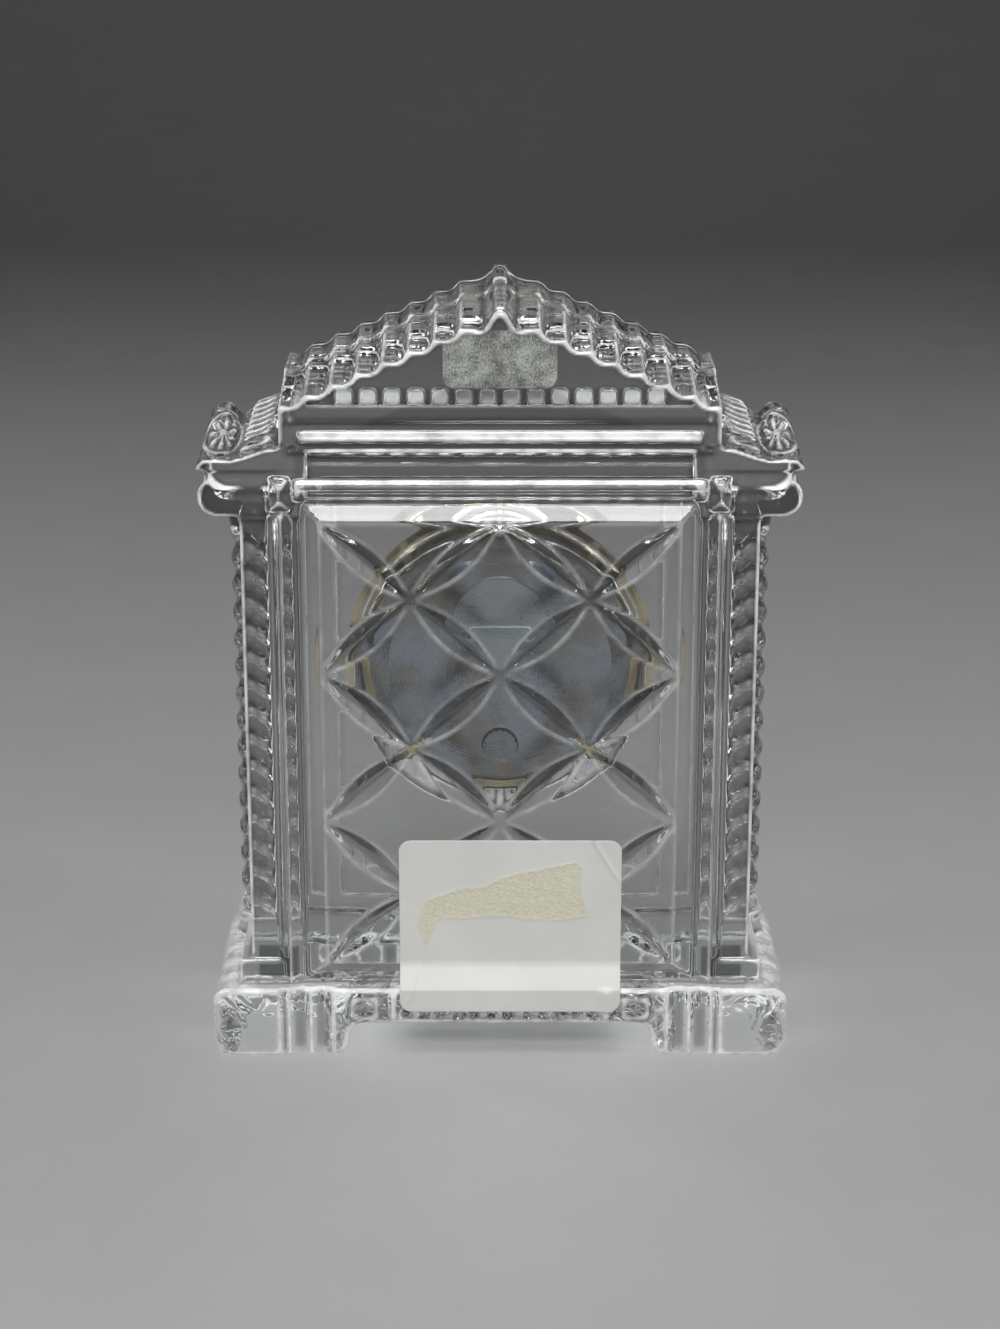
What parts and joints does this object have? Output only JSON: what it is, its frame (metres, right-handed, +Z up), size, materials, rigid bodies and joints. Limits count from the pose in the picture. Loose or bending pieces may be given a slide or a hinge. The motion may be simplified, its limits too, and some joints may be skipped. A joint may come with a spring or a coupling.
{
  "type": "table clock",
  "caption": "Cast lead-crystal table clock shaped as a small temple front with a lattice-cut back and a press-in quartz clock.",
  "frame": {"origin": "middle of the footprint, on the surface the clock stands on", "axes": "+Z up, the clock faces -Y, +X to the right of someone facing it"},
  "size_m": [0.108, 0.04, 0.144],
  "materials": {
    "crystal": "clear cast lead crystal, fire-polished edges",
    "label_paper": "off-white coated paper, a little worn",
    "label_foil": "pale grey foil paper",
    "bezel_gold": "polished gold tone",
    "grip_rubber": "matt black",
    "lens_glass": "clear",
    "reflector_gold": "satin gold tone",
    "dial_paint": "satin white",
    "hand_paint": "gloss black",
    "brass": "turned",
    "white_plastic": "moulded",
    "black_plastic": "moulded",
    "screw_steel": "zinc plated",
    "gear_plastic": "moulded acetal",
    "magnet": "ground",
    "core_iron": "stamped",
    "copper_wire": "enamelled wire",
    "board": "solder resist",
    "tin_can": "drawn can",
    "chip_resin": "black resin drop",
    "cell_steel": "nickel plated",
    "contact_metal": "spring strip",
    "can_steel": "turned with fine rings"
  },
  "bodies": {
    "case": {"crystal_body": "crystal", "back_label": "label_paper", "front_label": "label_foil"},
    "insert": {"bezel": "bezel_gold", "grip_ring": "grip_rubber", "lens": "lens_glass", "reflector_ring": "reflector_gold", "dial": "dial_paint", "dial_nut": "brass", "movement_ring": "white_plastic", "front_plate": "black_plastic", "middle_plate": "black_plastic", "rear_plate": "black_plastic", "plate_screws": "screw_steel", "stator": "core_iron", "coil_core": "core_iron", "coil_bobbin": "black_plastic", "coil": "copper_wire", "stator_screws": "screw_steel", "circuit_board": "board", "quartz_can": "tin_can", "chip": "chip_resin", "battery": "cell_steel", "contact_negative": "contact_metal", "contact_positive": "contact_metal", "back_can": "can_steel"},
    "seconds": {"seconds_wheel": "gear_plastic", "second_hand": "hand_paint"},
    "motor": {"rotor": "magnet"},
    "step": {"step_wheel": "gear_plastic"},
    "third": {"third_wheel": "gear_plastic"},
    "centre": {"centre_wheel": "brass"},
    "minutes": {"cannon_pinion": "brass", "minute_hand": "hand_paint"},
    "minute_work": {"minute_wheel": "gear_plastic"},
    "hours": {"hour_wheel": "gear_plastic", "hour_hand": "hand_paint"},
    "setting": {"setting_knob": "black_plastic"},
    "hatch": {"battery_hatch": "can_steel"}
  },
  "joints": [
    {"name": "insert_pull", "type": "slide", "parent": "case", "child": "insert", "axis": [0, -1, 0], "range_m": [0, 0.025]},
    {"name": "second_hand_turn", "type": "hinge", "parent": "insert", "child": "seconds", "pos_m": [0, 0, 0.07197], "axis": [0, 1, 0], "continuous": true},
    {"name": "rotor_turn", "type": "hinge", "parent": "insert", "child": "motor", "pos_m": [-0.00611, 0, 0.06876], "axis": [0, 1, 0], "continuous": true},
    {"name": "step_wheel_turn", "type": "hinge", "parent": "insert", "child": "step", "pos_m": [-0.00295, 0, 0.06991], "axis": [0, 1, 0], "continuous": true},
    {"name": "third_wheel_turn", "type": "hinge", "parent": "insert", "child": "third", "pos_m": [0.00557, 0, 0.06807], "axis": [0, 1, 0], "continuous": true},
    {"name": "centre_wheel_turn", "type": "hinge", "parent": "insert", "child": "centre", "pos_m": [0, 0, 0.07197], "axis": [0, 1, 0], "continuous": true},
    {"name": "minute_hand_turn", "type": "hinge", "parent": "insert", "child": "minutes", "pos_m": [0, 0, 0.07197], "axis": [0, 1, 0], "continuous": true},
    {"name": "minute_wheel_turn", "type": "hinge", "parent": "insert", "child": "minute_work", "pos_m": [0, 0, 0.06477], "axis": [0, 1, 0], "continuous": true},
    {"name": "hour_hand_turn", "type": "hinge", "parent": "insert", "child": "hours", "pos_m": [0, 0, 0.07197], "axis": [0, 1, 0], "continuous": true},
    {"name": "setting_knob_turn", "type": "hinge", "parent": "insert", "child": "setting", "pos_m": [0, 0, 0.05742], "axis": [0, 1, 0], "continuous": true},
    {"name": "hatch_twist", "type": "hinge", "parent": "insert", "child": "hatch", "pos_m": [0, 0, 0.08117], "axis": [0, 1, 0], "range_deg": [0, 30]}
  ],
  "couplings": [
    {"joint": "step_wheel_turn", "follows": "rotor_turn", "ratio": -0.16667},
    {"joint": "second_hand_turn", "follows": "rotor_turn", "ratio": 0.033333},
    {"joint": "third_wheel_turn", "follows": "rotor_turn", "ratio": -0.0044444},
    {"joint": "centre_wheel_turn", "follows": "rotor_turn", "ratio": 0.00055556},
    {"joint": "minute_wheel_turn", "follows": "minute_hand_turn", "ratio": -0.33333},
    {"joint": "hour_hand_turn", "follows": "minute_hand_turn", "ratio": 0.083333},
    {"joint": "setting_knob_turn", "follows": "minute_hand_turn", "ratio": 0.92308}
  ]
}
